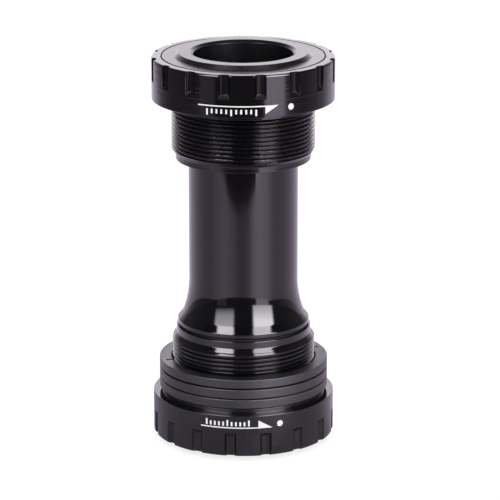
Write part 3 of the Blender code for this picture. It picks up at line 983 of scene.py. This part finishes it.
def make_materials():
    """One material for each finish. A relief is the full height of its noise."""
    return {
        "polished_anodise": anodised(
            "anodised_black_polished",
            colour=(0.0028, 0.0024, 0.0030), light=(0.0045, 0.0040, 0.0048),
            roughness=0.09, line_relief=0.022 * MM, grain_relief=0.0002 * MM,
            chatter_relief=0.055 * MM),
        "milled_anodise": anodised(
            "anodised_black_milled",
            colour=(0.0028, 0.0024, 0.0030), light=(0.0045, 0.0040, 0.0048),
            roughness=0.30, line_relief=0.004 * MM, grain_relief=0.0010 * MM, ior=1.22),
        "satin_anodise": anodised(
            "anodised_black_satin",
            colour=(0.0036, 0.0032, 0.0038), light=(0.0052, 0.0047, 0.0055),
            roughness=0.26, line_relief=0.0012 * MM, grain_relief=0.0016 * MM,
            chatter_relief=0.008 * MM, polished=0.08),
        "cover_plastic": moulded(
            "plastic_black_cover",
            colour=(0.0050, 0.0045, 0.0053), light=(0.0075, 0.0068, 0.0080),
            roughness=0.24, grain_scale=5000.0, grain_relief=0.0020 * MM,
            flow_relief=0.004 * MM),
        "sleeve_plastic": moulded(
            "plastic_black_gloss",
            colour=(0.0026, 0.0022, 0.0028), light=(0.0040, 0.0035, 0.0043),
            roughness=0.07, grain_scale=3000.0, grain_relief=0.0002 * MM,
            flow_relief=0.020 * MM),
        "spacer_plastic": moulded(
            "plastic_grey_matt",
            colour=(0.0060, 0.0053, 0.0064), light=(0.0110, 0.0097, 0.0117),
            roughness=0.40, grain_scale=2200.0, grain_relief=0.030 * MM,
            flow_relief=0.006 * MM, ior=1.55),
        "cage_nylon": moulded(
            "nylon_natural", colour=(0.22, 0.17, 0.10), light=(0.28, 0.22, 0.13),
            roughness=0.45, grain_scale=1500.0, grain_relief=0.006 * MM,
            flow_relief=0.006 * MM),
        "seal_rubber": moulded(
            "rubber_black",
            colour=(0.0035, 0.0033, 0.0036), light=(0.0060, 0.0056, 0.0062),
            roughness=0.50, grain_scale=2500.0, grain_relief=0.006 * MM,
            flow_relief=0.004 * MM, ior=1.22),
        "white_ink": moulded(
            "ink_white", colour=(0.78, 0.77, 0.78), light=(0.90, 0.89, 0.90),
            roughness=0.45, grain_scale=4000.0, grain_relief=0.002 * MM,
            flow_relief=0.001 * MM),
        "bearing_steel": ground_steel(),
    }


# ---------------------------------------------------------------- studio

DOME_RADIUS = 1.5
WALL_COLOUR = (1.0, 0.95, 1.02)
TABLE_COLOUR = (1.0, 0.88, 1.10)
WORLD_LEVEL = 1.05

# Softboxes: edges in degrees of bearing, and (elevation in degrees, level) up them.
# They lean apart from an elevation of LEAN_FROM on.
RIGHT_BOX_EDGES = (19.5, 59.0)
LEFT_BOX_EDGES = (-56.0, -19.0)
BOX_SOFT = 2.5
LEAN_FROM = 20.0
LEAN = 0.13
RIGHT_BOX = [(-7.0, 0.0), (-5.5, 6.0), (5.0, 10.0), (15.0, 16.5), (36.0, 17.0),
             (50.0, 12.0), (62.0, 11.0), (65.0, 0.0)]
LEFT_BOX = [(2.5, 0.0), (4.0, 1.5), (10.0, 5.5), (20.0, 7.5), (50.0, 14.0),
            (62.0, 12.0), (65.0, 0.0)]

# Wall: its level at bearings from the front and at elevations, multiplied together
WALL_ROUND = [(0.0, 0.03), (80.0, 0.05), (132.0, 0.08), (145.0, 0.40), (160.0, 1.0),
              (180.0, 1.0)]
WALL_UP = [(-90.0, 1.0), (25.0, 1.0), (45.0, 0.4), (75.0, 0.15)]
WALL_LEVEL = 2.1

# The sheet on the table: its edges, and (bearing in degrees, level) on it
SHEET_LEFT = -0.28
SHEET_RIGHT = 0.30
SHEET_FRONT = -0.231
SHEET_SLANT = 0.17
SHEET_SOFT = 0.009
SHEET_LEVELS = [(-180.0, 1.05), (-137.0, 1.05), (-122.0, 0.98), (-110.0, 0.85),
                (-87.0, 0.68), (-69.0, 0.72), (-52.0, 1.10), (-36.0, 1.32),
                (-23.0, 1.08), (-10.0, 0.62), (0.0, 0.60), (10.0, 0.80), (23.0, 2.05),
                (36.0, 2.20), (50.0, 1.85), (64.0, 0.95), (86.0, 0.80), (111.0, 0.92),
                (123.0, 0.98), (133.0, 1.05), (153.0, 1.0), (180.0, 1.0)]

# The table around the sheet: (bearing in degrees, level) beside it, level before it
BESIDE_LEVELS = [(-180.0, 0.52), (-128.0, 0.47), (-112.0, 0.26), (-100.0, 0.17),
                 (80.0, 0.17), (97.0, 0.33), (114.0, 0.47), (128.0, 0.72), (150.0, 0.62),
                 (180.0, 0.52)]
BEFORE_SHEET = 0.07

# The bracket's shade on the sheet: its level, which rises over the bearings of
# UNDER_TURN, and the distances from the axis where it starts and stops to fade
UNDER_LEVEL = 0.52
UNDER_RIGHT = 0.90
UNDER_TURN = (88.0, 115.0)
UNDER_NEAR = 0.050
UNDER_FAR = 0.075

# The softboxes' light on that table: level, and edges in degrees of bearing
RIGHT_BAND = 3.0
RIGHT_BAND_EDGES = (26.0, 52.0)
LEFT_BAND = 0.33
LEFT_BAND_EDGES = (-54.0, -35.0)
BAND_SOFT = 1.5

# Table top, just under the bracket, and what gloss sees of it
TABLE_HALF = 4.0
TABLE_Z = -0.1 * MM
TABLE_ALBEDO = 0.30
TABLE_EMISSION = 0.80
GLOW_HALF = 1.4
GLOW_Z = -0.2 * MM

# Camera: its place, its tilt in degrees, lens and sensor in millimetres
CAMERA_X = 1.61 * MM
CAMERA_Y = -737.9 * MM
CAMERA_OVER_RIM = 167.35 * MM
CAMERA_TILT = 16.30
CAMERA_LENS = 228.1
SENSOR_WIDTH = 36.0


def reflected_only(stage_object):
    """A light tent surface: gloss shows it, the camera and soft light don't."""
    stage_object.visible_camera = False
    stage_object.visible_diffuse = False
    stage_object.visible_transmission = False
    stage_object.visible_volume_scatter = False
    stage_object.visible_shadow = False


def emission_material(name, colour):
    """An emission material, with its tree and emission node."""
    material = bpy.data.materials.new(name)
    material.use_nodes = True
    tree = material.node_tree
    tree.nodes.clear()
    out = tree.nodes.new("ShaderNodeOutputMaterial")
    glow = node(tree, "ShaderNodeEmission", Color=(*colour, 1.0))
    tree.links.new(glow.outputs["Emission"], out.inputs["Surface"])
    return material, tree, glow


def bearings_of(tree):
    """Bearing from the front (right is positive) and elevation, both in degrees."""
    x, y, z = object_axes(tree)
    front = calculate(tree, "MULTIPLY", y, -1.0)
    bearing = calculate(tree, "ARCTAN2", x, front)
    elevation = calculate(tree, "ARCTAN2", z, axis_distance(tree))
    return (calculate(tree, "MULTIPLY", bearing, 360.0 / TURN),
            calculate(tree, "MULTIPLY", elevation, 360.0 / TURN))


def levels(tree, value, low, high, stops):
    """A grey ramp over low..high; stops are (value, level), levels over 1 allowed."""
    share = remap(tree, value, low, high, 0.0, 1.0)
    ramp = tree.nodes.new("ShaderNodeValToRGB")
    elements = ramp.color_ramp.elements
    while len(elements) > 1:
        elements.remove(elements[-1])
    for index, (at, level) in enumerate(stops):
        place = (at - low) / (high - low)
        element = elements[0] if index == 0 else elements.new(place)
        element.position = place
        element.color = (level, level, level, 1.0)
    tree.links.new(share, ramp.inputs["Fac"])
    # Adding nothing turns the grey colour into a plain value.
    return calculate(tree, "ADD", ramp.outputs["Color"], 0.0)


def build_tent():
    """What gloss sees: a softbox each side of the camera, dark beyond, a pale wall."""
    bm = bmesh.new()
    bmesh.ops.create_uvsphere(bm, u_segments=64, v_segments=32, radius=DOME_RADIUS)
    mesh = bpy.data.meshes.new("light_tent")
    bm.to_mesh(mesh)
    bm.free()
    tent = bpy.data.objects.new("light_tent", mesh)
    bpy.context.scene.collection.objects.link(tent)
    material, tree, glow = emission_material("light_tent", WALL_COLOUR)
    bearing, elevation = bearings_of(tree)
    over = calculate(tree, "SUBTRACT", elevation, LEAN_FROM)
    lean = calculate(tree, "MULTIPLY", calculate(tree, "MAXIMUM", over, 0.0), LEAN)
    right = calculate(tree, "MULTIPLY",
                      window(tree, calculate(tree, "SUBTRACT", bearing, lean),
                             *RIGHT_BOX_EDGES, BOX_SOFT),
                      levels(tree, elevation, -90.0, 90.0, RIGHT_BOX))
    left = calculate(tree, "MULTIPLY",
                     window(tree, calculate(tree, "ADD", bearing, lean),
                            *LEFT_BOX_EDGES, BOX_SOFT),
                     levels(tree, elevation, -90.0, 90.0, LEFT_BOX))
    wall = calculate(tree, "MULTIPLY",
                     levels(tree, calculate(tree, "ABSOLUTE", bearing), 0.0, 180.0,
                            WALL_ROUND),
                     levels(tree, elevation, -90.0, 90.0, WALL_UP))
    wall = calculate(tree, "MULTIPLY", wall, WALL_LEVEL)
    total = calculate(tree, "ADD", calculate(tree, "ADD", right, left), wall)
    tree.links.new(total, glow.inputs["Strength"])
    mesh.materials.append(material)
    reflected_only(tent)


def square_plane(name, half, height):
    """A flat square round the axis, as an object."""
    mesh = bpy.data.meshes.new(name)
    mesh.from_pydata([(-half, -half, height), (half, -half, height),
                      (half, half, height), (-half, half, height)], [], [(0, 1, 2, 3)])
    made = bpy.data.objects.new(name, mesh)
    bpy.context.scene.collection.objects.link(made)
    return made


def build_table():
    """The pale table top, as the camera and soft light see it."""
    table = square_plane("floor", TABLE_HALF, TABLE_Z)
    material, _, shader = new_material("pale_table", (TABLE_ALBEDO,) * 3, 0.6)
    shader.inputs["Specular IOR Level"].default_value = 0.0
    shader.inputs["Emission Color"].default_value = (1.0, 1.0, 1.0, 1.0)
    shader.inputs["Emission Strength"].default_value = TABLE_EMISSION
    table.data.materials.append(material)
    table.visible_glossy = False


def build_table_glow():
    """What gloss sees of the table: a sheet, the shade on it and light around it."""
    table = square_plane("table_glow", GLOW_HALF, GLOW_Z)
    material, tree, glow = emission_material("table_glow", TABLE_COLOUR)
    bearing, _ = bearings_of(tree)
    x, y, _ = object_axes(tree)
    across = window(tree, x, SHEET_LEFT, SHEET_RIGHT, SHEET_SOFT)
    # To the left the sheet's front edge slants away from the camera.
    slant = calculate(tree, "MINIMUM", x, 0.0)
    front = calculate(tree, "MULTIPLY_ADD", slant, SHEET_SLANT, y)
    behind = remap(tree, front, SHEET_FRONT - SHEET_SOFT,
                   SHEET_FRONT + SHEET_SOFT, 0.0, 1.0)
    far = remap(tree, axis_distance(tree), UNDER_NEAR, UNDER_FAR, 0.0, 1.0)
    under = remap(tree, bearing, *UNDER_TURN, UNDER_LEVEL, UNDER_RIGHT)
    sheet = levels(tree, bearing, -180.0, 180.0, SHEET_LEVELS)
    sheet = mix(tree, under, sheet, far)
    beyond = levels(tree, bearing, -180.0, 180.0, BESIDE_LEVELS)
    beyond = mix(tree, BEFORE_SHEET, beyond, behind)
    right_band = window(tree, bearing, *RIGHT_BAND_EDGES, BAND_SOFT)
    left_band = window(tree, bearing, *LEFT_BAND_EDGES, BAND_SOFT)
    beyond = calculate(tree, "MULTIPLY_ADD", right_band, RIGHT_BAND, beyond)
    beyond = calculate(tree, "MULTIPLY_ADD", left_band, LEFT_BAND, beyond)
    on_sheet = calculate(tree, "MULTIPLY", across, behind)
    tree.links.new(mix(tree, beyond, sheet, on_sheet), glow.inputs["Strength"])
    table.data.materials.append(material)
    reflected_only(table)


def build_world():
    """Even white soft light, seen by the camera as the backdrop."""
    world = bpy.data.worlds.new("studio")
    bpy.context.scene.world = world
    world.use_nodes = True
    background = world.node_tree.nodes["Background"]
    background.inputs["Color"].default_value = (1.0, 1.0, 1.0, 1.0)
    background.inputs["Strength"].default_value = WORLD_LEVEL
    world.cycles_visibility.glossy = False


def build_camera():
    """A long lens that looks down a little from the front."""
    data = bpy.data.cameras.new("camera")
    data.sensor_width = SENSOR_WIDTH
    data.lens = CAMERA_LENS
    data.clip_start = 0.05
    camera = bpy.data.objects.new("camera", data)
    camera.location = (CAMERA_X, CAMERA_Y, RIGHT_RIM_Z + CAMERA_OVER_RIM)
    camera.rotation_euler = (math.radians(90.0 - CAMERA_TILT), 0.0, 0.0)
    bpy.context.scene.collection.objects.link(camera)
    bpy.context.scene.camera = camera
    bpy.context.scene.view_settings.view_transform = "Standard"


def build():
    """Everything, in order."""
    materials = make_materials()
    build_left_cup(materials)
    build_right_cup(materials)
    for side in ("left", "right"):
        build_races(side, materials)
        build_seals(side, materials)
        build_ball_set(side, materials)
        build_cover(side, materials)
    build_sleeve(materials)
    build_o_ring(materials)
    build_spacers(materials)
    build_marks(materials)
    build_tent()
    build_table()
    build_table_glow()
    build_world()
    build_camera()


build()
